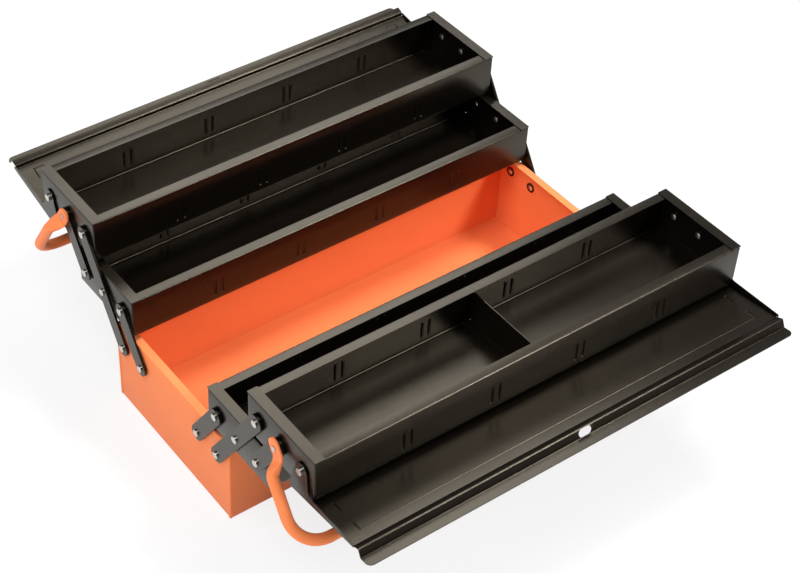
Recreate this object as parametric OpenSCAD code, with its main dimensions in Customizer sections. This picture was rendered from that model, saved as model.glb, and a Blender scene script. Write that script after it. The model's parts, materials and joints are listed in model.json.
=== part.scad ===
// Cantilever tool box, standing open: a deep case, two levels of trays on each side, and a lid on each
// upper tray. Flat links at both ends carry the trays. X runs along the box, +Y is the rear side, and the
// origin is the middle of the case's bottom.

/* [Case] */
// Length over the end walls of the case and of every tray
box_l = 526; // [420:1:640]
// Width of the case
case_w = 218; // [208:1:224]
// Height of the case, to the top of its rim
case_h = 106; // [90:1:130]
// Thickness of the case's sheet
case_t = 1.2; // [0.8:0.1:1.6]
// Width of the rim folded inwards round the case
case_rim = 10; // [6:0.5:14]
// Width of the seam that wraps round each upright corner
seam_w = 3.5; // [2:0.5:6]
// How far the seam stands proud of the end wall
seam_step = 0.5; // [0.3:0.1:0.8]

/* [Trays] */
// How far the trays stand out past the case on each side, box shut
tray_over = 1.6; // [0.5:0.1:4]
// Height of a lower tray
lower_h = 48; // [44:1:52]
// Height of an upper tray
upper_h = 51; // [44:1:60]
// Thickness of the sheet of the trays, the divider and the lids
sheet_t = 1; // [0.8:0.1:1.2]
// Width of a tray's rim, folded inwards
tray_rim = 11.3; // [8:0.1:14]
// Width of the tab that joins two walls inside each corner
tab_w = 12; // [8:1:16]
// Half the gap between the two sides' trays when the box is shut
half_gap = 0.6; // [0.5:0.1:2]
// Gap between the case's rim and the lower trays
case_gap = 7; // [5:0.5:10]
// Gap between the lower and the upper trays
level_gap = 4; // [3:0.5:6]
// Bays along a tray, marked off by pairs of ribs
bays = 5; // [2:1:8]
// Distance between the two ribs of a pair
rib_pair = 8.8; // [6:0.2:12]
// Outer radius of a rib
rib_r = 2.2; // [1.9:0.1:2.6]
// Length of a rib between its round ends
rib_l = 19; // [12:1:24]
// Height of a rib's lower end above the tray's bottom
rib_up = 10; // [8:1:14]

/* [Divider] */
// Place of the divider along the tray
divider_x = 4; // [-30:1:30]
// Height of the divider
divider_h = 39; // [30:1:40]
// Width of the divider's folded edges
divider_fold = 7; // [5:0.5:10]
// Gap between the divider and the tray
divider_fit = 0.1; // [0.05:0.05:0.3]

/* [Links] */
// Height between the pivots of one level and the next
link_rise = 54; // [52:0.5:56]
// How far outwards a link leans between two levels
link_out = 35.3; // [34:0.1:36.6]
// Distance between neighbouring pivots on one tray
pivot_pitch = 36.2; // [34:0.1:38]
// Depth of the case's pivots below its top
pivot_drop = 23; // [20:0.5:26]
// Width of a link
link_w = 18; // [14:0.5:20]
// Thickness of a link
link_t = 2.5; // [2:0.1:3]
// Gap between the tray's end wall and a link
link_gap = 1.5; // [1.2:0.1:2]
// Radius of a pivot rivet's shaft
pin_r = 2.5; // [2:0.1:3]
// Clearance round a rivet's shaft
run_fit = 0.05; // [0.02:0.01:0.1]
// Clearance between faces that slide on each other
face_fit = 0.1; // [0.05:0.01:0.15]
// Radius of a rivet's outer head
head_r = 4; // [3.6:0.1:4.6]
// Height of a rivet's outer head
head_h = 1.8; // [1.4:0.1:2.2]
// Radius of a rivet's closed inner end
tail_r = 3.6; // [3.2:0.1:4]
// Height of a rivet's closed inner end
tail_h = 1.1; // [0.8:0.1:1.4]
// Radius of a washer
washer_r = 6; // [5.2:0.1:7]
// Thickness of a washer inside a tray
washer_t = 1; // [0.8:0.1:1.2]

/* [Handles] */
// Diameter of a handle's tube
tube_d = 12; // [10:0.5:12.5]
// Wall of the tube
tube_t = 1.5; // [1:0.1:2]
// Distance from the handle's pivots to the middle of its grip
handle_reach = 102.5; // [98:0.5:112]
// Radius of the handle's two bends, at the middle of the tube
bend_r = 37; // [30:1:46]
// Angle of the handle's arms below level, box open
handle_drop = 56.7; // [50:0.1:62]
// Width of the flattened end
flat_w = 16.5; // [14:0.5:18]
// Thickness of the flattened end
flat_t = 3; // [2.4:0.1:3.4]
// Reach of the flattened end past its pivot
flat_tail = 11; // [10:0.5:14]
// Length of the flattened end on the grip's side of its pivot
flat_l = 10.5; // [9:0.5:13]
// Length of the crank from the flat to the tube
crank_l = 11; // [9:0.5:14]
// How far outwards the crank sets the tube
crank_out = 11.8; // [10.5:0.1:12.5]
// Radius of the rivet's head on a handle
handle_head_r = 3.2; // [3:0.1:3.8]
// Height of the rivet's head on a handle
handle_head_h = 1.2; // [1:0.1:1.6]

/* [Lids] */
// Distance from a lid's pivots to the inside of its panel
lid_drop = 33.5; // [32.5:0.1:34.5]
// Overhang of the lid past the upper tray's outer wall, box shut
lid_over = 0.7; // [0.5:0.1:1.2]
// Depth of the flange along the lid's hinge edge
back_flange = 8.8; // [7:0.1:9]
// Gap between the tray's end wall and the lid's end flange
ear_gap = 1.2; // [1:0.1:1.4]
// Radius of the ear round the lid's pivot
ear_r = 9; // [8:0.5:10]
// Height of the end flange at the neck of its ear
flange_heel = 8.5; // [7:0.5:10]
// Height of the end flange at its far end
flange_toe = 4; // [3:0.5:6]
// Height of a lid's rivet heads
lid_head_h = 3; // [2:0.1:3.2]
// Radius of a lid rivet's shaft
lid_pin_r = 2.3; // [1.8:0.1:2.8]
// Distance from the middle of the shut box back to the fold of the front lid's raised lip
front_inset = 13.7; // [12:0.1:16]
// Distance from the middle of the shut box back to the fold of the rear lid's raised lip
rear_inset = 16.7; // [15:0.1:20]
// Tilt of the open front lid above level
front_tilt = 5.5; // [5:0.1:8]
// Tilt of the open rear lid above level
rear_tilt = 13.1; // [8:0.1:15]
// Radius of the lips' round corners
lip_round = 6; // [3:0.5:8]
// Length of the padlock slot
lock_l = 16; // [12:1:20]
// Width of the padlock slot
lock_w = 9; // [7:0.5:9]
// Inner radius of the pressed beads on a lid
bead_r = 0.9; // [0.6:0.1:1.1]

/* [Hidden] */
$fn = 48;
cut = 1;
bend_fn = 24;

// Width of a tray
tray_w = case_w / 2 + tray_over - half_gap;

// Heights
lower_z = case_h + case_gap;
upper_z = lower_z + lower_h + level_gap;
a_z = case_h - pivot_drop;
b_z = a_z + link_rise;
c_z = b_z + link_rise;

// Places across the box, on the rear side, open
lower_y = half_gap + 2 * link_out;
b1_y = lower_y + tray_w / 2;
a1_y = b1_y - link_out;
c1_y = b1_y + link_out;
c3_y = c1_y + pivot_pitch;
d_y = c3_y + pivot_pitch;
upper_y = c3_y - tray_w / 2;

// Pivots as [across, up]: A on the case, B on the lower tray, C and D on the upper tray
pivot_a1 = [a1_y, a_z];
pivot_a2 = [a1_y - pivot_pitch, a_z];
pivot_b1 = [b1_y, b_z];
pivot_b2 = [b1_y - pivot_pitch, b_z];
pivot_b3 = [b1_y + pivot_pitch, b_z];
pivot_c1 = [c1_y, c_z];
pivot_c3 = [c3_y, c_z];
pivot_d = [d_y, c_z];

// Planes along the box, at its right end
end_x = box_l / 2;
case_end_x = end_x - seam_step;
link_x = end_x + link_gap;
flat_x = link_x + link_t + 2 * face_fit;
ear_x = end_x + ear_gap;
lid_l = 2 * (ear_x + sheet_t);
lip_l = lid_l - 2 * sheet_t;
tube_x = flat_x + flat_t / 2 + crank_out;

// Lid profile lines, along the middle of the sheet, as [out from the pivot, up]
front_panel = tray_w / 2 + pivot_pitch - front_inset;
rear_panel = tray_w / 2 + pivot_pitch - rear_inset;
mid_t = sheet_t / 2;
lid_back = -(tray_w / 2 - pivot_pitch) - lid_over - mid_t;
panel_z = -lid_drop - mid_t;
front_strip = [7.8, 2.7];
rear_strip = [9, 5];
rear_step = [1, 4];
front_riser = [3.3, -9.1];
rear_riser = [4.6, -8.8];
front_lip = [13.2, 0.5];
rear_lip = [5.9, 0];
front_fold = [front_panel, panel_z];
front_crest = front_fold + front_strip;
front_foot = front_crest + front_riser;
rear_fold = [rear_panel, panel_z];
rear_crest = rear_fold + rear_strip;
rear_foot = rear_crest + rear_riser;
bead_in = -8;
bead_out = front_panel - 12.5;
bead_corner = 12;
bead_x = end_x - 16;
bead_dash = 13;
bead_dashes = 3;

// Outline of the ear's back edge, as [out from the pivot, up]
ear_back = [[-ear_r, 0], [-14.5, -9.5], [-18.5, -22]];
neck_bend = 10;

// How far the panel's ends and the end flanges reach past the panel's fold
nose = 1.5;

black = [0.16, 0.15, 0.13];
orange = [0.95, 0.42, 0.22];
steel = [0.78, 0.77, 0.74];

// Draws its children on the rear side (side = 1) or mirrored to the front (side = -1)
module on_side(side) {
    mirror([0, side > 0 ? 0 : 1, 0]) children();
}

// Draws its children at the right end (end = 1) or mirrored to the left (end = -1)
module on_end(end) {
    mirror([end > 0 ? 0 : 1, 0, 0]) children();
}

// Stands a drawing of [across, up] upright, so that it faces along the box from x to x + t
module upright(x, t) {
    translate([x, 0, 0]) rotate([90, 0, 90]) linear_extrude(t) children();
}

module pin_hole(x, t, p, pin = pin_r) {
    upright(x - cut, t + 2 * cut) translate(p) circle(pin + run_fit);
}

module box(x, y, z) {
    translate([x[0], y[0], z[0]]) cube([x[1] - x[0], y[1] - y[0], z[1] - z[0]]);
}

// Bottom case
module bottom_case() color(orange) {
    inner_x = case_end_x - case_t;
    inner_y = case_w / 2 - case_t;
    difference() {
        box([-end_x, end_x], [-case_w / 2, case_w / 2], [0, case_h]);
        box([-inner_x, inner_x], [-inner_y, inner_y], [case_t, case_h - case_t]);
        box([-end_x + case_rim, end_x - case_rim], [-case_w / 2 + case_rim, case_w / 2 - case_rim],
            [case_t, case_h + cut]);
        for (end = [-1, 1]) on_end(end) {
            box([case_end_x, end_x + cut], [-case_w / 2 + seam_w, case_w / 2 - seam_w], [-cut, case_h + cut]);
            for (side = [-1, 1], p = [pivot_a1, pivot_a2]) on_side(side)
                pin_hole(inner_x, case_t, p);
        }
    }
}

// Trays
module rib(x, r) {
    translate([x, 0, rib_up]) cylinder(r = r, h = rib_l);
    translate([x, 0, rib_up]) sphere(r = r);
    translate([x, 0, rib_up + rib_l]) sphere(r = r);
}

module ribs(r) {
    pairs = bays - 1;
    for (i = [1 : pairs], s = [-1, 1])
        rib(-end_x + i * box_l / bays + s * rib_pair / 2, r);
}

module long_rim(h) {
    translate([0, 0, h - 2 * sheet_t]) linear_extrude(sheet_t) polygon([
        [-end_x + sheet_t, 0], [end_x - sheet_t, 0], [end_x - tray_rim, tray_rim], [-end_x + tray_rim, tray_rim]
    ]);
}

// One long wall with its rim, ribs and corner tabs, its outer face at y = 0
module long_wall(h) {
    difference() {
        union() {
            box([-end_x, end_x], [0, sheet_t], [0, h - sheet_t]);
            intersection() {
                ribs(rib_r);
                box([-end_x, end_x], [0, tray_rim], [0, h]);
            }
        }
        ribs(rib_r - sheet_t);
    }
    long_rim(h);
    for (end = [-1, 1]) on_end(end)
        box([end_x - sheet_t - tab_w, end_x - sheet_t], [sheet_t, 2 * sheet_t], [0, h - 2 * sheet_t - tab_w / 2]);
}

module tray(y, z, h, pivots) {
    difference() {
        translate([0, y, z]) {
            box([-end_x, end_x], [0, tray_w], [0, sheet_t]);
            long_wall(h);
            translate([0, tray_w, 0]) mirror([0, 1, 0]) long_wall(h);
            for (end = [-1, 1]) on_end(end) {
                box([end_x - sheet_t, end_x], [0, tray_w], [0, h]);
                box([end_x - tray_rim, end_x], [0, tray_w], [h - sheet_t, h]);
            }
        }
        for (end = [-1, 1], p = pivots) on_end(end)
            pin_hole(end_x - sheet_t, sheet_t, p);
    }
}

module lower_tray(side) color(black)
    on_side(side) tray(lower_y, lower_z, lower_h, [pivot_b1, pivot_b2, pivot_b3]);

module upper_tray(side) color(black) on_side(side) difference() {
    tray(upper_y, upper_z, upper_h, [pivot_c1, pivot_c3]);
    for (end = [-1, 1]) on_end(end) pin_hole(end_x - sheet_t, sheet_t, pivot_d, lid_pin_r);
}

// Loose divider, in the front upper tray: an upright plate with both ends and its foot folded over
module tray_divider() color(black) on_side(-1) {
    y0 = upper_y + sheet_t + divider_fit;
    y1 = upper_y + tray_w - sheet_t - divider_fit;
    z0 = upper_z + sheet_t + divider_fit;
    x1 = divider_x + sheet_t;
    x0 = x1 - divider_fold;
    box([divider_x, x1], [y0, y1], [z0, z0 + divider_h]);
    box([x0, x1], [y0, y1], [z0, z0 + sheet_t]);
    box([x0, x1], [y0, y0 + sheet_t], [z0, z0 + divider_h - divider_fold]);
    box([x0, x1], [y1 - sheet_t, y1], [z0, z0 + divider_h - divider_fold]);
}

// Links
module strap(p, q) {
    d = q - p;
    translate(p) rotate(atan2(d[1], d[0])) translate([0, -link_w / 2]) square([norm(d), link_w]);
    translate(p) circle(link_w / 2);
    translate(q) circle(link_w / 2);
}

module link(side, end, p, q, holes) color(black) on_side(side) on_end(end) difference() {
    upright(link_x, link_t) strap(p, q);
    for (h = holes) pin_hole(link_x, link_t, h);
}

module long_link(side, end) link(side, end, pivot_a1, pivot_c1, [pivot_a1, pivot_b1, pivot_c1]);

module short_link(side, end) link(side, end, pivot_a2, pivot_b2, [pivot_a2, pivot_b2]);

module outer_link(side, end) link(side, end, pivot_b3, pivot_c3, [pivot_b3, pivot_c3]);

// Rivets and washers
module dome(r, h) {
    ball = (r * r + h * h) / (2 * h);
    span = asin(r / ball);
    steps = 5;
    rotate_extrude() polygon(concat(
        [[0, 0]],
        [for (i = [0 : steps]) let (a = span * (1 - i / steps)) [ball * sin(a), ball * cos(a) - ball + h]]
    ));
}

// Flat head with a rounded edge
module button(r, h) {
    edge = 0.5;
    steps = 4;
    rotate_extrude() polygon(concat(
        [[0, 0], [r, 0]],
        [for (i = [0 : steps]) let (a = 90 * i / steps) [r - edge + edge * cos(a), h - edge + edge * sin(a)]],
        [[0, h]]
    ));
}

// A rivet through a wall whose inner face is at x0, with its outer head's seat at x1
module rivet(p, x0, x1, r, h, pin) {
    inner = x0 - washer_t;
    translate([inner, p[0], p[1]]) rotate([0, 90, 0]) cylinder(r = pin, h = x1 - inner);
    translate([x1, p[0], p[1]]) rotate([0, 90, 0]) button(r, h);
    translate([inner, p[0], p[1]]) rotate([0, -90, 0]) dome(tail_r, tail_h);
}

module rivets(side, pivots, x0, x1, r, h = head_h, pin = pin_r) color(steel) on_side(side)
    for (end = [-1, 1], p = pivots) on_end(end) rivet(p, x0, x1, r, h, pin);

module ring(p, x, t, pin) {
    upright(x, t) translate(p) difference() {
        circle(washer_r);
        circle(pin + run_fit);
    }
}

// Washers of one rivet: a thick one between the wall and what turns, and a thin one inside the wall
module washer_pair(p, wall, t, gap, pin = pin_r) {
    ring(p, wall, gap - face_fit, pin);
    ring(p, wall - t - washer_t, washer_t, pin);
}

link_seat = link_x + link_t + face_fit;
tray_inner_x = end_x - sheet_t;

module case_rivets() for (side = [-1, 1])
    rivets(side, [pivot_a1, pivot_a2], case_end_x - case_t, link_seat, head_r);

module case_washers() color(black) for (side = [-1, 1], end = [-1, 1], p = [pivot_a1, pivot_a2])
    on_side(side) on_end(end) washer_pair(p, case_end_x, case_t, link_x - case_end_x);

module lower_rivets(side) rivets(side, [pivot_b1, pivot_b2, pivot_b3], tray_inner_x, link_seat, head_r);

module lower_washers(side) color(black) on_side(side)
    for (end = [-1, 1], p = [pivot_b1, pivot_b2, pivot_b3]) on_end(end)
        washer_pair(p, end_x, sheet_t, link_gap);

module upper_rivets(side) rivets(side, [pivot_c1], tray_inner_x, link_seat, head_r);

module handle_rivets(side)
    rivets(side, [pivot_c3], tray_inner_x, flat_x + flat_t + face_fit, handle_head_r, handle_head_h);

module lid_rivets(side)
    rivets(side, [pivot_d], tray_inner_x, ear_x + sheet_t + face_fit, head_r, lid_head_h, lid_pin_r);

module upper_washers(side) color(black) on_side(side) for (end = [-1, 1]) on_end(end) {
    washer_pair(pivot_c1, end_x, sheet_t, link_gap);
    washer_pair(pivot_c3, end_x, sheet_t, link_gap);
    washer_pair(pivot_d, end_x, sheet_t, ear_gap, lid_pin_r);
}

// Handles, drawn with the arms along +Y from the pivots, then dropped to their resting angle
module handle_tube(d, start) {
    grip = tube_x - bend_r;
    straight = handle_reach - bend_r;
    for (end = [-1, 1]) on_end(end) {
        translate([tube_x, start, 0]) rotate([-90, 0, 0]) cylinder(d = d, h = straight - start);
        translate([grip, straight, 0]) rotate_extrude(angle = 90) translate([bend_r, 0]) circle(d = d);
    }
    translate([-grip, handle_reach, 0]) rotate([0, 90, 0]) cylinder(d = d, h = 2 * grip);
}

module handle_flat() {
    upright(flat_x, flat_t) difference() {
        union() {
            translate([flat_w / 2 - flat_tail, -flat_w / 2]) square([flat_l + flat_tail - flat_w / 2, flat_w]);
            translate([flat_w / 2 - flat_tail, 0]) circle(flat_w / 2);
        }
        circle(pin_r + run_fit);
    }
}

module handle_crank() {
    slice = 0.6;
    step = 0.2;
    hull() {
        box([flat_x, flat_x + flat_t], [flat_l - slice, flat_l], [-flat_w / 2 + step, flat_w / 2 - step]);
        translate([tube_x, flat_l + crank_l, 0]) rotate([-90, 0, 0])
            cylinder(d = tube_d - 2 * step, h = slice, $fn = 32);
    }
}

module handle(side) color(orange) on_side(side)
    translate([0, c3_y, c_z]) rotate([-handle_drop, 0, 0]) {
        start = flat_l + crank_l;
        difference() {
            handle_tube(tube_d, start);
            handle_tube(tube_d - 2 * tube_t, start + tube_t);
        }
        for (end = [-1, 1]) on_end(end) {
            handle_flat();
            handle_crank();
        }
    }

// Lids, drawn level and open, with the pivots at the origin
module fold_line(points) {
    last = len(points) - 1;
    for (i = [0 : last - 1]) {
        d = points[i + 1] - points[i];
        translate(points[i]) rotate(atan2(d[1], d[0])) translate([0, -mid_t]) square([norm(d), sheet_t]);
    }
    for (i = [1 : last - 1]) translate(points[i]) circle(d = sheet_t, $fn = bend_fn);
}

// Upright flange at a lid's end, low along the panel, with a neck and an ear that reach up to the pivot
module end_flange(panel) {
    bottom = panel_z - mid_t;
    back = lid_back - mid_t;
    heel = bottom + flange_heel;
    toe = bottom + flange_toe;
    front = panel + nose;
    difference() {
        union() {
            circle(ear_r);
            polygon(concat(
                [[back, bottom], [front, bottom], [front, toe - mid_t], [front - flange_toe, toe]],
                [[ear_r + neck_bend, heel], [ear_r, heel + neck_bend], [ear_r, 0]],
                ear_back,
                [[back, bottom + sheet_t]]
            ));
        }
        circle(lid_pin_r + run_fit);
    }
    difference() {
        translate([ear_r - cut, heel - cut]) square(neck_bend + cut);
        translate([ear_r + neck_bend, heel + neck_bend]) circle(neck_bend);
    }
}

// Pressed beads that frame the panel, each a groove on the inside and a ridge on the outside. The long
// ones run from one end to the other, or else only a short way in from each end.
module bead_lines(r, bead_l) {
    step = (bead_out - bead_in - bead_dash) / (bead_dashes - 1);
    for (end = [-1, 1]) on_end(end) translate([bead_x, 0, -lid_drop]) {
        for (across = [bead_in, bead_out])
            translate([-bead_l, across, 0]) rotate([0, 90, 0]) cylinder(r = r, h = bead_l);
        for (i = [0 : bead_dashes - 1])
            translate([0, bead_in + i * step, 0]) rotate([-90, 0, 0]) cylinder(r = r, h = bead_dash);
    }
}

// Plan of a lid: the panel, and the narrower lip with its round corners
module lid_outline(panel_end, lip_end) {
    translate([-lid_l / 2, lid_back - cut]) square([lid_l, panel_end - lid_back + cut]);
    translate([-lip_l / 2, 0]) square([lip_l, lip_end - lip_round]);
    translate([-lip_l / 2 + lip_round, 0]) square([lip_l - 2 * lip_round, lip_end]);
    for (end = [-1, 1]) translate([end * (lip_l / 2 - lip_round), lip_end - lip_round]) circle(lip_round);
}

// Padlock slot through the riser between crest and foot
module lock_slot(crest, foot) {
    mid = (crest + foot) / 2;
    along = foot - crest;
    translate([0, mid[0], mid[1]]) rotate([atan2(along[1], along[0]) + 90, 0, 0]) rotate([90, 0, 0])
        for (s = [-1, 1]) translate([s * (lock_l - lock_w) / 2, 0, -2 * sheet_t])
            cylinder(d = lock_w, h = 4 * sheet_t);
    translate([0, mid[0], mid[1]]) rotate([atan2(along[1], along[0]) + 90, 0, 0])
        cube([lock_l - lock_w, 4 * sheet_t, lock_w], center = true);
}

module lid_shell(panel, line, crest, foot, bead_l) {
    lip_end = line[len(line) - 1][0];
    difference() {
        union() {
            intersection() {
                upright(-lid_l / 2, lid_l) fold_line(line);
                translate([0, 0, -2 * lid_drop]) linear_extrude(2 * lid_drop) lid_outline(panel + nose, lip_end);
            }
            for (end = [-1, 1]) on_end(end) upright(ear_x, sheet_t) end_flange(panel);
            intersection() {
                bead_lines(bead_r + sheet_t, bead_l);
                box([-end_x, end_x], [lid_back, panel], [-2 * lid_drop, panel_z]);
            }
        }
        bead_lines(bead_r, bead_l);
        lock_slot(crest, foot);
    }
}

module front_lid() color(black) on_side(-1) translate([0, d_y, c_z]) rotate([front_tilt, 0, 0])
    lid_shell(front_panel, [
        [lid_back, panel_z + back_flange], [lid_back, panel_z], front_fold, front_crest, front_foot,
        front_foot + front_lip
    ], front_crest, front_foot, 2 * bead_x);

module rear_lid() color(black) translate([0, d_y, c_z]) rotate([rear_tilt, 0, 0])
    lid_shell(rear_panel, [
        [lid_back, panel_z + back_flange], [lid_back, panel_z], rear_fold, rear_fold + rear_step, rear_crest,
        rear_foot, rear_foot + rear_lip
    ], rear_crest, rear_foot, bead_corner);

bottom_case();
case_rivets();
case_washers();
lower_tray(1);  // rear_lower_tray
lower_tray(-1);  // front_lower_tray
upper_tray(1);  // rear_upper_tray
upper_tray(-1);  // front_upper_tray
tray_divider();
rear_lid();
front_lid();
handle(1);  // rear_handle
handle(-1);  // front_handle
long_link(1, -1);  // rear_left_long_link
long_link(1, 1);  // rear_right_long_link
long_link(-1, -1);  // front_left_long_link
long_link(-1, 1);  // front_right_long_link
short_link(1, -1);  // rear_left_short_link
short_link(1, 1);  // rear_right_short_link
short_link(-1, -1);  // front_left_short_link
short_link(-1, 1);  // front_right_short_link
outer_link(1, -1);  // rear_left_outer_link
outer_link(1, 1);  // rear_right_outer_link
outer_link(-1, -1);  // front_left_outer_link
outer_link(-1, 1);  // front_right_outer_link
lower_rivets(1);  // rear_lower_rivets
lower_rivets(-1);  // front_lower_rivets
lower_washers(1);  // rear_lower_washers
lower_washers(-1);  // front_lower_washers
upper_rivets(1);  // rear_upper_rivets
upper_rivets(-1);  // front_upper_rivets
upper_washers(1);  // rear_upper_washers
upper_washers(-1);  // front_upper_washers
handle_rivets(1);  // rear_handle_rivets
handle_rivets(-1);  // front_handle_rivets
lid_rivets(1);  // rear_lid_rivets
lid_rivets(-1);  // front_lid_rivets
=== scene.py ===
# Cantilever tool box: folded sheets, links, handles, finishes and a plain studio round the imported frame.
import json
import math

import bmesh
import bpy
from mathutils import Matrix, Vector


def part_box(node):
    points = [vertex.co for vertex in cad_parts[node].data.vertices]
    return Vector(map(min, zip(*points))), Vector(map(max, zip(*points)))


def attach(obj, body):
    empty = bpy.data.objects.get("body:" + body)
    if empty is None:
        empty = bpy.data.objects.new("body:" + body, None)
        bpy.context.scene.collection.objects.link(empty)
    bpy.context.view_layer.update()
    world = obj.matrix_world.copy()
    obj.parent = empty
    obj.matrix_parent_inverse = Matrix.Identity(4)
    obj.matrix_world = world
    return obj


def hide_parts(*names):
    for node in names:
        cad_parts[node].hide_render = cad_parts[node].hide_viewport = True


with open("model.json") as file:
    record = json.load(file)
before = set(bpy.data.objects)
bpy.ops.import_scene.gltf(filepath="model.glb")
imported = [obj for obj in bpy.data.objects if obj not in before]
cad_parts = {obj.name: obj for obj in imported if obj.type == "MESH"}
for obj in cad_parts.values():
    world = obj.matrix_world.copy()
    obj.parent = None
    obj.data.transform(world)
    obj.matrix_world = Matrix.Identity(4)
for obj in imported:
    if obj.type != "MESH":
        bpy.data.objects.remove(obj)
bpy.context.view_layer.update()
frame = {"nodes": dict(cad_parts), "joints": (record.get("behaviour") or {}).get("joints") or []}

# All sizes below are in millimetres and all angles in degrees
MM = 0.001
SIDES = {"rear": 1, "front": -1}

# Sheet metal in general
SHEET = 1.0
BEND = 1.0
BEND_STEPS = 4
LAP = 0.01  # how far two folded ends stay apart past their bends
SAME_LEVEL = 0.01  # how near a level a point counts as on it
BEND_SHARE = 0.45  # the most of a side that a bend takes up
PAST_RIB = 1.15  # where the flat sheet starts beside a rib, in half widths of the rib

# Softened edges: how far they are rounded, and from which angle on
SHEET_ROUND, SHEET_EDGE = 0.16, 50.0
LINK_ROUND, WASHER_ROUND, SOLID_EDGE = 0.45, 0.15, 40.0
SHEET_CREASE, HANDLE_CREASE = 35.0, 50.0

# Trays
FOOT_BEND = 1.7
TRAY_RIM = 11.3
TRAY_INSET = 13.0  # from a tray's end to its outermost row of points
TRAY_STEP = 40.0
END_STEP = 30.0
END_FOLD = 4.0
RIM_GROOVE = 0.6
RIM_BEND = 0.7
RIM_MARGIN = 1.0
TAB = 12.0
TAB_FLAT = 3.0
TAB_SLOPE = 0.5
BAYS = 5
RIB_PAIR = 8.8
RIB_LOW = 10.0
RIB_LENGTH = 19.0
RIB_WIDTH = 1.9
RIB_DEPTH = 1.3
RIBS_FROM_FLOOR = 4.0
RIBS_FROM_TOP = 8.0
DIVIDER_SLOPE = 1.1

# Case
CASE_SHEET = 1.2
CASE_RIM = 10.0
CASE_BEND = 1.3
CASE_INSET = 14.0
CASE_STEP = 60.0
CASE_END_HALF = 80.0
CASE_END_STEP = 40.0
CASE_TOP = 3.0  # depth of the folded rim's zone
MITRE_GAP = 0.3
SEAM = 3.5
SEAM_STEP = 0.5
SEAM_SHEET = 0.7
SEAM_FOOT = 0.2
SEAM_HEAD = 1.2

# The lids' folded line, from the hinge: out along the panel, and up
LID_DROP = 34.0
LID_BACK_RISE = 8.8
LID_BACK_FACE = -19.5  # inner face of its back
LID_BEND = 1.1
FRONT_LINE = {"fold": (77.5, -34.0), "crest": (85.3, -31.3), "foot": (88.6, -40.4), "lip": (101.8, -39.9)}
REAR_LINE = {"fold": (74.5, -34.0), "step": (75.5, -30.0), "crest": (83.5, -29.0), "foot": (88.1, -37.8),
             "lip": (94.0, -37.8)}
LID_TILT = {"front": 5.5, "rear": 13.1}
LID_NOSE = 1.5
LIP_ROUND = 6.0
LIP_STEPS = 6
PANEL_INSET = 22.0
PANEL_STEP = 12.0
PANEL_ROWS = (5.0, 52.0, 6.0)  # lowest, highest and step of the plain rows between the beads
ROW_MARGIN = 0.5  # between such a row and a bend
BEAD_X = 247.0
BEAD_ROWS = (-8.0, 65.0)
BEAD_DASHES = ((-8.0, 5.0), (22.0, 35.0), (52.0, 65.0))
BEAD_CORNER = 12.0
BEAD_WIDTH = 1.0
BEAD_DEPTH = 1.0
BEAD_MARGIN = 3.0
SLOT_LENGTH = 16.0
SLOT_WIDTH = 9.0
SLOT_CUT = 3.2
EAR_R = 9.0
EAR_BACK = [(-14.5, -9.5), (-18.5, -22.0), (-21.0, -31.0)]
NECK_BEND = 10.0
FLANGE_HEEL = 8.5
FLANGE_TOE = 4.0
FLANGE_RISE = 1.6
FLANGE_STEP = 25.0
TOE_R = 1.5

# Handles: places along a leg are counted from its hinge
TUBE_R = 6.0
REACH = 102.5
TUBE_BEND = 37.0
DROP = 56.7
GRIP_STEP = 30.0
LEG_STEP = 8.0
FLAT_HALF = 8.25
FLAT_THICK = 1.5
FLAT_TAIL = 11.0
FLAT_STEP = 2.0
TIP_STEPS = 8
TIP_TURN = 80.0
CRANK_TOP = 25.5
CRANK_FOOT = 7.5
SQUASH_TOP = 23.5
SQUASH_FOOT = 12.5
CRANK_STEP = 1.0
ROUND = 2.0
SQUARED = 7.0
RING = 32
HANDLE_HEAD = 1.2
FACE_GAP = 0.1

# Finishes: noises by their sockets' names, bumps with their depth in metres
COAT_CLOUDS = {"Scale": 9.0, "Detail": 3.0, "Roughness": 0.5}
COAT_PEEL = {"Scale": 900.0, "Detail": 2.0, "Roughness": 0.5}
COAT_WAVES = {"Scale": 28.0, "Detail": 1.0, "Roughness": 0.4}
COAT_GLOSS_LESS, COAT_GLOSS_MORE = 0.05, 0.06  # how far the coat's roughness varies
PEEL_DEPTH = 0.00012
WAVE_BUMP = {"Strength": 0.25, "Distance": 0.0006}
STEEL_CLOUDS = {"Scale": 160.0, "Detail": 4.0, "Roughness": 0.6}
STEEL_BUMP = {"Strength": 0.3, "Distance": 0.0002}

# Studio: each lamp's place and edge in metres, and its power in watts
FLOOR_REACH = 6.0
FLOOR_WHITE = 0.8
ROOM_LIGHT = 0.16
LAMPS = {
    "side": ((-2.1, -0.5, 1.1), 0.9, 16),
    "overhead": ((-0.9, -0.3, 2.2), 1.0, 28),
    "behind": ((0.75, 1.3, 1.75), 1.1, 17),
    "above_right": ((1.0, -0.1, 2.1), 0.5, 30),
    "front": ((1.1, -1.6, 1.8), 0.6, 37),
}
LAMP_TARGET = Vector((0, 0, 0.1))

# Camera: the photograph's view. Focal length and centre are in pixels of its 800 by 573 frame
PHOTO_WIDTH, PHOTO_HEIGHT = 800, 573
FOCAL_PIXELS = 1836.37
CENTRE_PIXEL = (285.11, 288.12)
SENSOR = 36.0
AZIMUTH, ELEVATION, ROLL = -34.67, 42.64, 0.40
AIM_HEIGHT = 90.0
SLIDE = (-100.49, 8.08, 1984.63)  # to the right, up and back from the aim
FAR_CLIP = 50.0


# Places from the frame

def box_mm(node):
    """Lowest and highest corner of a node, in millimetres."""
    lo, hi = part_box(node)
    return lo / MM, hi / MM


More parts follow.
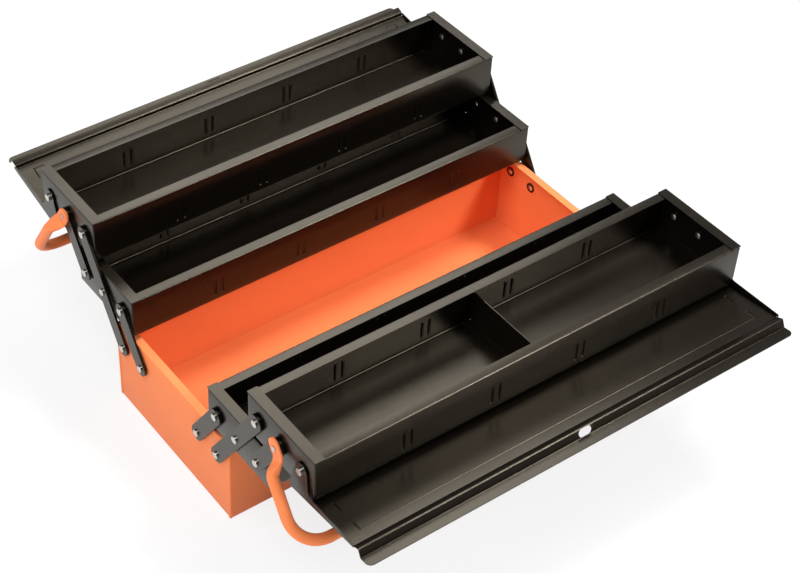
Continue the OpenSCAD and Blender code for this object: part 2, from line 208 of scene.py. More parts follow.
def hinged(joint_name, tilt):
    """The move from a piece's own frame, whose hinge is at 0, to its place, tilted about the hinge."""
    joint = next(j for j in frame["joints"] if j["name"] == joint_name)
    _, y, z = joint["pos_m"]
    across, up = abs(y) / MM, z / MM
    c, s = math.cos(math.radians(tilt)), math.sin(math.radians(tilt))

    def place(p):
        return Vector((p.x, across + p.y * c - p.z * s, up + p.y * s + p.z * c))

    return place


# Lines of points

def spread(a, b, step):
    """Evenly spaced values from a to b, about a step apart."""
    n = max(1, round(abs(b - a) / step))
    return [a + (b - a) * i / n for i in range(n + 1)]


def thin_out(values, gap=0.05):
    """The values in order, without those closer together than the gap."""
    out = []
    for v in sorted(values):
        if not out or v - out[-1] > gap:
            out.append(v)
    return out


def arc_points(centre, radius, start, end, steps):
    """Points on an arc between two angles."""
    out = []
    for i in range(steps + 1):
        a = math.radians(start + (end - start) * i / steps)
        out.append((centre[0] + radius * math.cos(a), centre[1] + radius * math.sin(a)))
    return out


def folded(points, *radii):
    """A line of (u, v) points with an arc in place of each corner: of one radius, or one for each corner."""
    if len(radii) == 1:
        radii *= len(points) - 2
    out = [Vector(points[0])]
    for before, corner, after, radius in zip(points, points[1:], points[2:], radii):
        corner = Vector(corner)
        back, on = Vector(before) - corner, Vector(after) - corner
        a, b = back.normalized(), on.normalized()
        half = a.angle(b) / 2
        cut = min(radius / math.tan(half), BEND_SHARE * min(back.length, on.length))
        centre = corner + (a + b).normalized() * (cut * math.tan(half) / math.sin(half))
        start, end = corner + a * cut - centre, corner + b * cut - centre
        turn = math.atan2(start.x * end.y - start.y * end.x, start.dot(end))
        for i in range(BEND_STEPS + 1):
            c, s = math.cos(turn * i / BEND_STEPS), math.sin(turn * i / BEND_STEPS)
            out.append(centre + Vector((start.x * c - start.y * s, start.x * s + start.y * c)))
    out.append(Vector(points[-1]))
    return out


def refine(line, upright, levels, margin=0.1):
    """Adds points at the levels where the line runs upright between two of its points."""
    out = [line[0]]
    for a, b in zip(line, line[1:]):
        if upright(a) and upright(b):
            low, high = sorted((a.y, b.y))
            inside = [Vector((a.x, z)) for z in levels if low + margin < z < high - margin]
            out += inside if a.y < b.y else inside[::-1]
        out.append(b)
    return out


def bump(distance, width):
    """Height of a pressed rib or bead: round, 1 on its middle line and 0 past its width."""
    return math.sqrt(1 - (distance / width) ** 2) if distance < width else 0.0


def places_across(middle, width, steps=4):
    """Places across a rib or bead, closer together towards its steep sides, and one on each side past it."""
    inside = [middle + width * math.sin(math.pi / 2 * k / steps) for k in range(-steps, steps + 1)]
    return [middle - PAST_RIB * width] + inside + [middle + PAST_RIB * width]


# Mesh building

def mesh_object(name, points, faces, material, side):
    """An object from points in millimetres and faces that look outwards; side -1 mirrors it to the front."""
    if side < 0:
        faces = [face[::-1] for face in faces]
    mesh = bpy.data.meshes.new(name)
    mesh.from_pydata([(p.x * MM, side * p.y * MM, p.z * MM) for p in points], [], faces)
    mesh.validate()
    obj = bpy.data.objects.new(name, mesh)
    bpy.context.scene.collection.objects.link(obj)
    mesh.materials.append(material)
    return obj


def mark_creases(mesh, angle=SHEET_CREASE):
    """Smooth shading everywhere, except across edges sharper than the angle."""
    bm = bmesh.new()
    bm.from_mesh(mesh)
    for face in bm.faces:
        face.smooth = True
    for edge in bm.edges:
        if len(edge.link_faces) == 2 and edge.calc_face_angle(0) > math.radians(angle):
            edge.smooth = False
    bm.to_mesh(mesh)
    bm.free()


def turn_outwards(mesh):
    """Flips a closed mesh whose faces all look inwards, which a cut can leave."""
    bm = bmesh.new()
    bm.from_mesh(mesh)
    if bm.calc_volume(signed=True) < 0:
        mesh.flip_normals()
    bm.free()


def soften(obj, width, angle, segments=2):
    """Rounds an object's edges that are sharper than the angle, so that they catch the light."""
    bevel = obj.modifiers.new("soft_edges", "BEVEL")
    bevel.width = width * MM
    bevel.segments = segments
    bevel.limit_method = "ANGLE"
    bevel.angle_limit = math.radians(angle)
    bevel.harden_normals = True
    bevel.use_clamp_overlap = True


def dress(obj, body, node):
    """Makes a piece ride on its body, in place of a node."""
    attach(obj, body)
    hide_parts(node)


class Sheet:
    """Grids of points in millimetres that become solid sheet metal in one mesh."""

    def __init__(self):
        self.verts = []
        self.faces = []
        self.rims = []

    def grid(self, rows, thickness, press=None):
        """Adds a sheet whose middle surface runs through rows of points. press gives how far a point moves
        along the surface's normal."""
        m, n = len(rows), len(rows[0])
        base = len(self.verts)
        upper, lower = [], []
        for i in range(m):
            for j in range(n):
                down = rows[min(i + 1, m - 1)][j] - rows[max(i - 1, 0)][j]
                along = rows[i][min(j + 1, n - 1)] - rows[i][max(j - 1, 0)]
                normal = down.cross(along).normalized()
                p = rows[i][j]
                if press:
                    p = p + normal * press(p)
                upper.append(p + normal * thickness / 2)
                lower.append(p - normal * thickness / 2)
        self.verts += upper + lower

        def corner(i, j):
            return base + i * n + j

        for i in range(m - 1):
            for j in range(n - 1):
                quad = [corner(i, j), corner(i + 1, j), corner(i + 1, j + 1), corner(i, j + 1)]
                self.faces.append(quad)
                self.faces.append([v + m * n for v in reversed(quad)])
        ring = [corner(i, 0) for i in range(m)] + [corner(m - 1, j) for j in range(1, n)]
        ring += [corner(i, n - 1) for i in range(m - 2, -1, -1)] + [corner(0, j) for j in range(n - 2, 0, -1)]
        self.close(ring, m * n)

    def plate(self, outline, thickness):
        """Adds a flat plate from its outline and its thickness as a vector, which the outline runs round
        anticlockwise."""
        base, n = len(self.verts), len(outline)
        self.verts += [p + thickness / 2 for p in outline] + [p - thickness / 2 for p in outline]
        ring = [base + i for i in range(n)]
        self.faces.append(ring)
        self.faces.append([v + n for v in reversed(ring)])
        self.close(ring, n)

    def close(self, ring, below):
        """Joins a sheet's two faces round its rim, where the lower face's points come that much later."""
        for a, b in zip(ring, ring[1:] + ring[:1]):
            self.faces.append([b, a, a + below, b + below])
            self.rims += [(a, b), (a + below, b + below)]
        self.rims.append((ring[0], ring[0] + below))

    def join(self, other):
        """Adds another's sheets."""
        n = len(self.verts)
        self.verts += other.verts
        self.faces += [[v + n for v in face] for face in other.faces]
        self.rims += [(a + n, b + n) for a, b in other.rims]

    def join_ends(self, end):
        """Adds the sheets of one end, and the same again at the other end."""
        far = Sheet()
        far.verts = [Vector((-p.x, p.y, p.z)) for p in end.verts]
        far.faces = [face[::-1] for face in end.faces]
        far.rims = end.rims
        self.join(end)
        self.join(far)

    def build(self, name, material, side=1):
        """The mesh object, at its real size; side -1 mirrors it to the front."""
        obj = mesh_object(name, self.verts, self.faces, material, side)
        rims = {tuple(sorted(edge)) for edge in self.rims}
        for edge in obj.data.edges:
            edge.use_edge_sharp = tuple(sorted(edge.vertices)) in rims
        mark_creases(obj.data)
        return obj


# Materials

def new_material(name):
    """A material with its nodes, links and main shader."""
    material = bpy.data.materials.new(name)
    material.use_nodes = True
    nodes = material.node_tree.nodes
    return material, nodes, material.node_tree.links, nodes["Principled BSDF"]


def add(nodes, kind, **values):
    """A node with its sockets set by name."""
    node = nodes.new(kind)
    for key, value in values.items():
        if key in node.inputs:
            node.inputs[key].default_value = value
        else:
            setattr(node, key, value)
    return node


def powder_coat(name, colour, darker, roughness, peel, ior, gloss_tint):
    """Sprayed coat: faint clouds of colour, fine orange peel and a satin gloss that varies a little."""
    material, nodes, links, shader = new_material(name)
    shader.inputs["IOR"].default_value = ior
    shader.inputs["Specular Tint"].default_value = (*gloss_tint, 1)
    coord = add(nodes, "ShaderNodeTexCoord")
    cloud = add(nodes, "ShaderNodeTexNoise", **COAT_CLOUDS)
    fine = add(nodes, "ShaderNodeTexNoise", **COAT_PEEL)
    waves = add(nodes, "ShaderNodeTexNoise", **COAT_WAVES)
    tint = add(nodes, "ShaderNodeMix", data_type="RGBA", A=(*colour, 1), B=(*darker, 1))
    gloss = add(nodes, "ShaderNodeMapRange")
    gloss.inputs["To Min"].default_value = roughness - COAT_GLOSS_LESS
    gloss.inputs["To Max"].default_value = roughness + COAT_GLOSS_MORE
    small = add(nodes, "ShaderNodeBump", Strength=peel, Distance=PEEL_DEPTH)
    large = add(nodes, "ShaderNodeBump", **WAVE_BUMP)
    for texture in (cloud, fine, waves):
        links.new(coord.outputs["Object"], texture.inputs["Vector"])
    links.new(cloud.outputs["Fac"], tint.inputs["Factor"])
    links.new(tint.outputs["Result"], shader.inputs["Base Color"])
    links.new(cloud.outputs["Fac"], gloss.inputs["Value"])
    links.new(gloss.outputs["Result"], shader.inputs["Roughness"])
    links.new(waves.outputs["Fac"], large.inputs["Height"])
    links.new(fine.outputs["Fac"], small.inputs["Height"])
    links.new(large.outputs["Normal"], small.inputs["Normal"])
    links.new(small.outputs["Normal"], shader.inputs["Normal"])
    return material


def plated_steel(name, colour, darker, smooth, rough):
    """Bright nickel on rivets, slightly dulled and tumbled."""
    material, nodes, links, shader = new_material(name)
    shader.inputs["Metallic"].default_value = 1.0
    coord = add(nodes, "ShaderNodeTexCoord")
    cloud = add(nodes, "ShaderNodeTexNoise", **STEEL_CLOUDS)
    gloss = add(nodes, "ShaderNodeMapRange")
    gloss.inputs["To Min"].default_value = smooth
    gloss.inputs["To Max"].default_value = rough
    tint = add(nodes, "ShaderNodeMix", data_type="RGBA", A=(*colour, 1), B=(*darker, 1))
    dent = add(nodes, "ShaderNodeBump", **STEEL_BUMP)
    links.new(coord.outputs["Object"], cloud.inputs["Vector"])
    links.new(cloud.outputs["Fac"], gloss.inputs["Value"])
    links.new(gloss.outputs["Result"], shader.inputs["Roughness"])
    links.new(cloud.outputs["Fac"], tint.inputs["Factor"])
    links.new(tint.outputs["Result"], shader.inputs["Base Color"])
    links.new(cloud.outputs["Fac"], dent.inputs["Height"])
    links.new(dent.outputs["Normal"], shader.inputs["Normal"])
    return material


# Trays

def rib_press(z0, length):
    """Pairs of upright ribs in a tray's long walls: how far they press a point inwards, and the stations
    along the wall and levels up it that their shape needs."""
    places = []
    for i in range(1, BAYS):
        middle = -length / 2 + i * length / BAYS
        places += [middle - RIB_PAIR / 2, middle + RIB_PAIR / 2]
    low, high = z0 + RIB_LOW, z0 + RIB_LOW + RIB_LENGTH

    def press(p):
        past_end = max(low - p.z, 0, p.z - high)
        beside = min(abs(p.x - x) for x in places)
        return -RIB_DEPTH * bump(math.hypot(beside, past_end), RIB_WIDTH)

    stations = [station for x in places for station in places_across(x, RIB_WIDTH)]
    foot, head = places_across(low, RIB_WIDTH), places_across(high, RIB_WIDTH)
    middle = len(foot) // 2
    return press, stations, foot[:middle + 1] + head[middle:]


def tray_end(x1, y0, y1, z0, z1):
    """End wall with its bend to the floor, the rim that lies on it, and a tab round each corner."""
    end = Sheet()
    half = SHEET / 2
    wall_x = x1 - half
    wall_top = z1 - SHEET - RIM_GROOVE - half
    wall_middle = (z0 + z1) / 2
    wall = folded([(wall_x - END_FOLD, wall_top), (wall_x, wall_top), (wall_x, wall_middle)], RIM_BEND)
    foot = [(wall_x, wall_middle), (wall_x, z0 + half), (wall_x - FOOT_BEND, z0 + half)]
    wall += folded(foot, FOOT_BEND)[1:]
    a, b = y0 + SHEET + half + BEND, y1 - SHEET - half - BEND
    end.grid([[Vector((p.x, y, p.y)) for y in spread(a, b, END_STEP)] for p in wall], SHEET)
    rim_across = (y0, y0 + RIM_MARGIN, y1 - RIM_MARGIN, y1)
    end.grid([[Vector((x, y, z1 - half)) for y in rim_across] for x in (x1 - TRAY_RIM, x1)], SHEET)
    for y, inwards in ((y0, 1), (y1, -1)):
        inner = y + inwards * (SHEET + half)
        plan = [(wall_x, inner + inwards * (BEND + LAP)), (wall_x, inner), (x1 - SHEET - TAB, inner)]
        rows = []
        for p in folded(plan, BEND):
            cut = TAB_SLOPE * max(0, x1 - p.x - TAB_FLAT)
            rows.append([Vector((p.x, p.y, z)) for z in (z0 + SHEET, z1 - 2 * SHEET - RIM_GROOVE - cut)])
        end.grid(rows, SHEET)
    return end


def tray_sheet(side_name, level):
    """A tray: floor, long walls with ribs and folded-in rims as one sheet, and its two ends."""
    side = SIDES[side_name]
    node = f"{side_name}_{level}_tray"
    lo, hi = box_mm(node)
    x1, z0, z1 = hi.x, lo.z, hi.z
    y0, y1 = (lo.y, hi.y) if side > 0 else (-hi.y, -lo.y)
    half = SHEET / 2
    wall0, wall1 = y0 + half, y1 - half
    top = z1 - SHEET - half
    foot = z0 + half
    line = folded([(y0 + TRAY_RIM, top), (wall0, top), (wall0, foot), (wall1, foot), (wall1, top),
                   (y1 - TRAY_RIM, top)], BEND, FOOT_BEND, FOOT_BEND, BEND)

    def upright(p):
        return min(abs(p.x - wall0), abs(p.x - wall1)) < SAME_LEVEL

    def reach(p):
        """How far a point of the folded line runs towards each end."""
        if p.y > z1 - 2 * BEND - SHEET:
            return x1 - max(SHEET, min(p.x - y0, y1 - p.x))
        return x1 - SHEET if p.y > foot + FOOT_BEND else x1 - half - FOOT_BEND

    rib, stations, levels = rib_press(z0, 2 * x1)
    stations = thin_out(stations + spread(TRAY_INSET - x1, x1 - TRAY_INSET, TRAY_STEP))
    rows = []
    for p in refine(line, upright, levels):
        rows.append([Vector((x, p.x, p.y)) for x in [-reach(p)] + stations + [reach(p)]])

    def press(p):
        return rib(p) if z0 + RIBS_FROM_FLOOR < p.z < z1 - RIBS_FROM_TOP else 0.0

    sheet = Sheet()
    sheet.grid(rows, SHEET, press)
    sheet.join_ends(tray_end(x1, y0, y1, z0, z1))
    obj = sheet.build(f"{node}_sheet", black, side)
    soften(obj, SHEET_ROUND, SHEET_EDGE)
    dress(obj, f"{side_name}_{level}_level", node)


def divider_sheet():
    """The loose divider: a plate with a foot and side flanges that slope away at the top."""
    lo, hi = box_mm("tray_divider")
    half = SHEET / 2
    y0, y1 = half - hi.y, -lo.y - half
    x0, x1, z0, z1 = lo.x, hi.x - half, lo.z + half, hi.z
    sheet = Sheet()
    rows = []
    for p in folded([(x0, y0), (x1, y0), (x1, y1), (x0, y1)], BEND):
        cut = DIVIDER_SLOPE * max(0.0, x1 - p.x - BEND)
        rows.append([Vector((p.x, p.y, z)) for z in (z0 + BEND, z1 - cut)])
    sheet.grid(rows, SHEET)
    foot = folded([(x1, z0 + BEND + 2 * LAP), (x1, z0), (x0, z0)], BEND)
    sheet.grid([[Vector((p.x, y, p.y)) for y in (y0 + BEND, y1 - BEND)] for p in foot], SHEET)
    obj = sheet.build("divider_sheet", black, SIDES["front"])
    soften(obj, SHEET_ROUND, SHEET_EDGE)
    dress(obj, "front_upper_level", "tray_divider")


# Case

def case_end(x1, y1, z1):
    """End wall with its rim and foot, set in a little, and the seam strips that wrap round its corners."""
    end = Sheet()
    half = CASE_SHEET / 2
    top = z1 - half
    face = x1 - SEAM_STEP - half
    rows = []
    for p in folded([(x1 - CASE_RIM, top), (face, top), (face, half), (face - BEND, half)], BEND):
        reach = y1 - CASE_SHEET
        if p.y > z1 - CASE_TOP:
            reach = y1 - max(half + MITRE_GAP, x1 - p.x)
        across = [-reach] + spread(-CASE_END_HALF, CASE_END_HALF, CASE_END_STEP) + [reach]
        rows.append([Vector((p.x, y, p.y)) for y in across])
    end.grid(rows, CASE_SHEET)
    strip_x = x1 - SEAM_SHEET / 2
    for s in (-1, 1):
        plan = folded([(x1 - half - BEND - 2 * LAP, s * (y1 - half)), (strip_x, s * (y1 - half)),
                       (strip_x, s * (y1 - SEAM))], BEND)
        rows = [[Vector((p.x, p.y, z)) for z in (SEAM_FOOT, z1 - SEAM_HEAD)] for p in plan]
        end.grid(rows, SEAM_SHEET)
    return end


def case_sheet():
    """The case: floor, long walls and folded-in rims as one sheet, and its two ends."""
    lo, hi = box_mm("bottom_case")
    x1, y1, z1 = hi
    half = CASE_SHEET / 2
    wall, top = y1 - half, z1 - half
    line = folded([(CASE_RIM - y1, top), (-wall, top), (-wall, half), (wall, half), (wall, top),
                   (y1 - CASE_RIM, top)], CASE_BEND)
    stations = spread(CASE_INSET - x1, x1 - CASE_INSET, CASE_STEP)
    rows = []
    for p in line:
        ends = x1 - half - BEND
        if p.y > z1 - CASE_TOP:
            ends = x1 - max(half + BEND, y1 - abs(p.x))
        rows.append([Vector((x, p.x, p.y)) for x in [-ends] + stations + [ends]])
    sheet = Sheet()
    sheet.grid(rows, CASE_SHEET)
    sheet.join_ends(case_end(x1, y1, z1))
    obj = sheet.build("case_sheet", orange)
    soften(obj, SHEET_ROUND, SHEET_EDGE)
    dress(obj, "case", "bottom_case")


# Lids: x runs along the box, y out from the hinge and z up, until the lid is tilted into place

def lid_line(line):
    """The lid's folded line, with the rows that its beads and its rounded lip need."""
    back = LID_BACK_FACE - SHEET / 2
    corners = [(back, LID_BACK_RISE - LID_DROP), (back, -LID_DROP)] + list(line.values())
    profile = folded(corners, LID_BEND)
    rows = [u for row in BEAD_ROWS for u in places_across(row, BEAD_WIDTH)]
    rows += [u for dash in BEAD_DASHES for edge in dash for u in places_across(edge, BEAD_WIDTH, 3)]
    rows = thin_out(rows + spread(*PANEL_ROWS))
    out = [profile[0]]
    for a, b in zip(profile, profile[1:]):
        if max(abs(a.y + LID_DROP), abs(b.y + LID_DROP)) < SAME_LEVEL:
            out += [Vector((u, a.y)) for u in rows if a.x + ROW_MARGIN < u < b.x - ROW_MARGIN]
        out.append(b)
    lip = out.pop()
    start = out[-1]
    for k in range(LIP_STEPS + 1):
        u = lip.x - LIP_ROUND * (1 - math.sin(math.pi / 2 * k / LIP_STEPS))
        if u > start.x + 0.1:
            out.append(start.lerp(lip, (u - start.x) / (lip.x - start.x)))
    return out


def lid_stations(panel_x, bead_length):
    """Places along a lid: even ones, and those that the beads' ends need."""
    stations = spread(PANEL_INSET - panel_x, panel_x - PANEL_INSET, PANEL_STEP)
    for end in (-1, 1):
        stations += places_across(end * BEAD_X, BEAD_WIDTH)
        stations += places_across(end * (BEAD_X - bead_length), BEAD_WIDTH, 3)
    return thin_out(x for x in stations if abs(x) < BEAD_X + BEAD_MARGIN)


def bead_height(p, bead_length):
    """How far the beads that frame a lid's panel press a point outwards."""
    if abs(p.z + LID_DROP) > SAME_LEVEL:
        return 0.0
    x, u = abs(p.x), p.y
    past_row = max(x - BEAD_X, BEAD_X - bead_length - x, 0)
    ways = [math.hypot(past_row, u - row) for row in BEAD_ROWS]
    ways += [math.hypot(max(low - u, 0, u - high), x - BEAD_X) for low, high in BEAD_DASHES]
    return BEAD_DEPTH * bump(min(ways), BEAD_WIDTH)


def flange_outline(back, front, bottom):
    """Outline of a lid's end flange with the ear round its pivot, as (out, up) points."""
    heel = bottom + FLANGE_HEEL
    toe = bottom + FLANGE_TOE
    points = [(back, bottom + BEND), (front, bottom + BEND)]
    points += arc_points((front - TOE_R, toe - TOE_R), TOE_R, 0, 90, 4)
    points += arc_points((EAR_R + NECK_BEND, heel + NECK_BEND), NECK_BEND, 270, 180, 10)
    points += arc_points((0, 0), EAR_R, 0, 180, 18)
    return points + EAR_BACK


def lid_end(x1, panel_x, fold_out):
    """The bend from a lid's panel up to its end flange, and the flange with its ear."""
    end = Sheet()
    half = SHEET / 2
    back = LID_BACK_FACE - half
    flange_x = x1 - half
    plan = [(panel_x - LAP, -LID_DROP), (flange_x, -LID_DROP), (flange_x, FLANGE_RISE - LID_DROP)]
    outs = spread(back + 1, fold_out - 1, FLANGE_STEP)
    end.grid([[Vector((p.x, u, p.y)) for u in outs] for p in folded(plan, BEND)], SHEET)
    outline = flange_outline(back - half, fold_out + LID_NOSE, -LID_DROP - half)
    end.plate([Vector((flange_x, u, v)) for u, v in outline], Vector((SHEET, 0, 0)))
    return end


def lid_sheet(side_name, line, bead_length):
    """A lid: beaded panel, crest and lip as one sheet, and its end flanges, tilted about the hinge."""
    side = SIDES[side_name]
    node = f"{side_name}_lid"
    x1 = box_mm(node)[1].x
    panel_x, lip_x = x1 - SHEET / 2 - BEND, x1 - SHEET
    fold_out, lip_out = line["fold"][0], line["lip"][0]

    def reach(p):
        """How far a point of the folded line runs towards each end."""
        if p.x < fold_out + LID_NOSE:
            return panel_x
        past = max(0, p.x - (lip_out - LIP_ROUND)) / LIP_ROUND
        return lip_x - LIP_ROUND * (1 - math.sqrt(max(0, 1 - past * past)))

    stations = lid_stations(panel_x, bead_length)
    rows = []
    for p in lid_line(line):
        rows.append([Vector((x, p.x, p.y)) for x in [-reach(p)] + stations + [reach(p)]])
    sheet = Sheet()
    sheet.grid(rows, SHEET, lambda p: bead_height(p, bead_length))
    sheet.join_ends(lid_end(x1, panel_x, fold_out))
    place = hinged(f"{node}_hinge", LID_TILT[side_name])
    sheet.verts = [place(p) for p in sheet.verts]
    obj = sheet.build(f"{node}_sheet", black, side)
    cut_slot(obj, side, place, Vector(line["crest"]), Vector(line["foot"]))
    soften(obj, SHEET_ROUND, SHEET_EDGE)
    dress(obj, node, node)


def cut_slot(obj, side, place, crest, foot):
    """Cuts the padlock slot through the riser between a lid's crest and foot."""
    down = (foot - crest).normalized()
    middle = (crest + foot) / 2
    offset = (SLOT_LENGTH - SLOT_WIDTH) / 2
    outline = arc_points((offset, 0), SLOT_WIDTH / 2, -90, 90, 12)
    outline += arc_points((-offset, 0), SLOT_WIDTH / 2, 90, 270, 12)
    points = []
    for x, v in outline:
        q = middle + down * v
        points.append(place(Vector((x, q.x, q.y))))
    normal = place(Vector((0, -down.y, down.x))) - place(Vector((0, 0, 0)))
    cutter = Sheet()
    cutter.plate(points, normal * SLOT_CUT)
    tool = cutter.build("slot_cutter", black, side)
    cut = obj.modifiers.new("slot", "BOOLEAN")
    cut.object = tool
    cut.operation = "DIFFERENCE"
    cut.solver = "EXACT"
    bpy.context.view_layer.update()
    graph = bpy.context.evaluated_depsgraph_get()
    mesh = bpy.data.meshes.new_from_object(obj.evaluated_get(graph))
    obj.modifiers.remove(cut)
    obj.data = mesh
    bpy.data.objects.remove(tool)
    turn_outwards(mesh)
    mark_creases(mesh)


# Handles: x runs along the box and y out from the hinge, until the handle is dropped into place

def section(centre, tangent, half_width, half_thick, power):
    """A ring round a path in the handle's plane: round at power 2, squarer above."""
    across = Vector((tangent.y, -tangent.x, 0))
    ring = []
    for i in range(RING):
        a = 2 * math.pi * i / RING
        c, s = math.cos(a), math.sin(a)
        u = math.copysign(abs(c) ** (2 / power), c) * half_thick
        w = math.copysign(abs(s) ** (2 / power), s) * half_width
        ring.append(centre + across * u + Vector((0, 0, w)))
    return ring


def smooth_step(t):
    """From 0 to 1 with a gentle start and end."""
    t = min(1.0, max(0.0, t))
    return t * t * (3 - 2 * t)


def half_handle(flat_x, tube_x):
    """Stations from the middle of the grip to the flattened tip: centre, half width, half thickness and
    squareness."""
    grip, straight = tube_x - TUBE_BEND, REACH - TUBE_BEND
    centres = [(x, REACH) for x in spread(0, grip - 1, GRIP_STEP)]
    centres += arc_points((grip, straight), TUBE_BEND, 90, 0, 16)
    centres += [(tube_x, d) for d in spread(straight - 3, CRANK_TOP + 2, LEG_STEP)]
    stations = [(Vector((x, d, 0)), TUBE_R, TUBE_R, ROUND) for x, d in centres]
    for d in spread(CRANK_TOP, CRANK_FOOT, CRANK_STEP):
        x = tube_x + (flat_x - tube_x) * smooth_step((CRANK_TOP - d) / (CRANK_TOP - CRANK_FOOT))
        squash = smooth_step((SQUASH_TOP - d) / (SQUASH_TOP - SQUASH_FOOT))
        stations.append((Vector((x, d, 0)), TUBE_R + (FLAT_HALF - TUBE_R) * squash,
                         TUBE_R + (FLAT_THICK - TUBE_R) * squash, ROUND + (SQUARED - ROUND) * squash))
    tail = FLAT_HALF - FLAT_TAIL
    for d in spread(CRANK_FOOT - 1, tail + 0.5, FLAT_STEP):
        stations.append((Vector((flat_x, d, 0)), FLAT_HALF, FLAT_THICK, SQUARED))
    for k in range(TIP_STEPS + 1):
        a = math.radians(TIP_TURN) * k / TIP_STEPS
        centre = Vector((flat_x, tail - FLAT_HALF * math.sin(a), 0))
        stations.append((centre, FLAT_HALF * math.cos(a), FLAT_THICK, SQUARED))
    return stations


def handle_piece(side_name):
    """A handle: bent tube with flattened ends that sit under the rivet heads."""
    node = f"{side_name}_handle"
    tube_x = box_mm(node)[1].x - TUBE_R
    flat_x = box_mm(f"{node}_rivets")[1].x - HANDLE_HEAD - FACE_GAP - FLAT_THICK
    right = half_handle(flat_x, tube_x)
    path = [(Vector((-p.x, p.y, 0)), *shape) for p, *shape in reversed(right[1:])] + right
    last = len(path) - 1
    points = []
    for i, (centre, *shape) in enumerate(path):
        tangent = path[min(i + 1, last)][0] - path[max(i - 1, 0)][0]
        points += section(centre, tangent.normalized(), *shape)
    faces = []
    for i in range(0, last * RING, RING):
        for j in range(RING):
            k = (j + 1) % RING
            faces.append([i + j, i + RING + j, i + RING + k, i + k])
    faces.append(list(range(RING)))
    faces.append([last * RING + j for j in reversed(range(RING))])
    place = hinged(f"{node}_hinge", -DROP)
    obj = mesh_object(f"{node}_tube", [place(p) for p in points], faces, orange, SIDES[side_name])
    mark_creases(obj.data, HANDLE_CREASE)
    dress(obj, node, node)


# Links, rivets and washers keep their shapes, and get softened edges and finishes

def finish_frame_nodes():
    """Gives each node of the frame its material."""
    for name, obj in frame["nodes"].items():
        if "rivets" in name:
            material = steel
        elif name == "bottom_case" or name.endswith("handle"):
            material = orange
        else:
            material = black
        obj.data.materials.clear()
        obj.data.materials.append(material)
        if name.endswith("_link"):
            soften(obj, LINK_ROUND, SOLID_EDGE, 3)
        if name.endswith("washers"):
            soften(obj, WASHER_ROUND, SOLID_EDGE)


# Studio

def pale_floor():
    """The floor: paper that takes the object's shadow, lightened where it is seen or mirrored."""
    r = FLOOR_REACH
    mesh = bpy.data.meshes.new("floor")
    mesh.from_pydata([(-r, -r, 0), (r, -r, 0), (r, r, 0), (-r, r, 0)], [], [[0, 1, 2, 3]])
    floor = bpy.data.objects.new("floor", mesh)
    bpy.context.scene.collection.objects.link(floor)
    material, nodes, links, shader = new_material("floor_paper")
    shader.inputs["Base Color"].default_value = (0.88, 0.88, 0.88, 1)
    shader.inputs["Roughness"].default_value = 0.8
    light = add(nodes, "ShaderNodeEmission", Color=(1, 1, 1, 1), Strength=1.0)
    path = add(nodes, "ShaderNodeLightPath")
    mirrored = add(nodes, "ShaderNodeMath", operation="MAXIMUM")
    either = add(nodes, "ShaderNodeMath", operation="MAXIMUM")
    share = add(nodes, "ShaderNodeMath", operation="MULTIPLY")
    share.inputs[1].default_value = FLOOR_WHITE
    mix = add(nodes, "ShaderNodeMixShader")
    links.new(path.outputs["Is Glossy Ray"], mirrored.inputs[0])
    links.new(path.outputs["Is Transmission Ray"], mirrored.inputs[1])
    links.new(path.outputs["Is Camera Ray"], either.inputs[0])
    links.new(mirrored.outputs[0], either.inputs[1])
    links.new(either.outputs[0], share.inputs[0])
    links.new(share.outputs[0], mix.inputs["Fac"])
    links.new(shader.outputs[0], mix.inputs[1])
    links.new(light.outputs[0], mix.inputs[2])
    links.new(mix.outputs[0], nodes["Material Output"].inputs["Surface"])
    floor.data.materials.append(material)


def room():
    """The world: white where the camera sees it, and a low, even light on the object."""
    world = bpy.data.worlds.new("studio")
    bpy.context.scene.world = world
    world.use_nodes = True
    nodes, links = world.node_tree.nodes, world.node_tree.links
    light = nodes["Background"]
    light.inputs["Color"].default_value = (0.97, 0.98, 1.0, 1)
    light.inputs["Strength"].default_value = ROOM_LIGHT
    backdrop = add(nodes, "ShaderNodeBackground", Color=(1, 1, 1, 1), Strength=1.0)
    path = add(nodes, "ShaderNodeLightPath")
    mix = add(nodes, "ShaderNodeMixShader")
    links.new(path.outputs["Is Camera Ray"], mix.inputs["Fac"])
    links.new(light.outputs[0], mix.inputs[1])
    links.new(backdrop.outputs[0], mix.inputs[2])
    links.new(mix.outputs[0], nodes["World Output"].inputs["Surface"])


def area_light(name, place, size, power):
    """A square lamp that faces the object."""
    data = bpy.data.lights.new(name, "AREA")
    data.shape = "SQUARE"
    data.size = size
    data.energy = power
    lamp = bpy.data.objects.new(name, data)
    bpy.context.scene.collection.objects.link(lamp)
    lamp.location = place
    lamp.rotation_euler = (LAMP_TARGET - lamp.location).to_track_quat("-Z", "Y").to_euler()


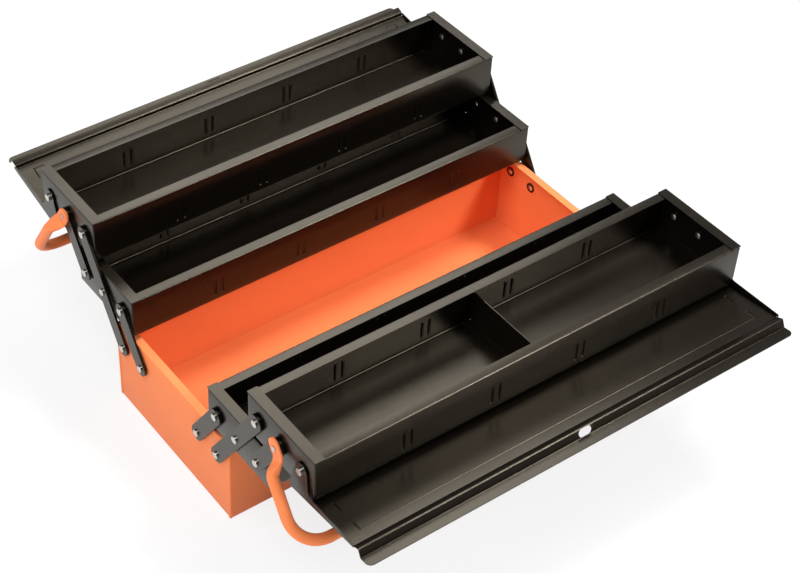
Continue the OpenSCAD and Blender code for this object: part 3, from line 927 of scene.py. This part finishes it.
def camera():
    """The photograph's view."""
    a, e, r = map(math.radians, (AZIMUTH, ELEVATION, ROLL))
    back = Vector((math.sin(a) * math.cos(e), -math.cos(a) * math.cos(e), math.sin(e)))
    level = Vector((math.cos(a), math.sin(a), 0))
    rise = back.cross(level)
    right = math.cos(r) * level + math.sin(r) * rise
    up = -math.sin(r) * level + math.cos(r) * rise
    place = Vector((0, 0, AIM_HEIGHT)) + right * SLIDE[0] + up * SLIDE[1] + back * SLIDE[2]
    data = bpy.data.cameras.new("camera")
    data.sensor_width = SENSOR
    data.lens = FOCAL_PIXELS / PHOTO_WIDTH * SENSOR
    data.shift_x = (PHOTO_WIDTH / 2 - CENTRE_PIXEL[0]) / PHOTO_WIDTH
    data.shift_y = (CENTRE_PIXEL[1] - PHOTO_HEIGHT / 2) / PHOTO_WIDTH
    data.clip_end = FAR_CLIP
    obj = bpy.data.objects.new("camera", data)
    bpy.context.scene.collection.objects.link(obj)
    turn = Matrix((right, up, back)).transposed().to_4x4()
    obj.matrix_world = Matrix.Translation(place * MM) @ turn
    bpy.context.scene.camera = obj


orange = powder_coat("orange_coat", colour=(0.93, 0.252, 0.088), darker=(0.89, 0.236, 0.080),
                     roughness=0.46, peel=0.25, ior=1.24, gloss_tint=(1.0, 0.84, 0.66))
black = powder_coat("black_coat", colour=(0.0036, 0.0026, 0.0018), darker=(0.0028, 0.0020, 0.0014),
                    roughness=0.26, peel=0.45, ior=1.5, gloss_tint=(1.0, 0.87, 0.65))
steel = plated_steel("plated_steel", colour=(0.74, 0.72, 0.66), darker=(0.52, 0.50, 0.45), smooth=0.22,
                     rough=0.42)

finish_frame_nodes()
case_sheet()
for side_name in SIDES:
    tray_sheet(side_name, "lower")
    tray_sheet(side_name, "upper")
    handle_piece(side_name)
lid_sheet("front", FRONT_LINE, 2 * BEAD_X)
lid_sheet("rear", REAR_LINE, BEAD_CORNER)
divider_sheet()
pale_floor()
room()
for name, (place, size, power) in LAMPS.items():
    area_light(name, place, size, power)
camera()
bpy.context.scene.view_settings.view_transform = "Standard"
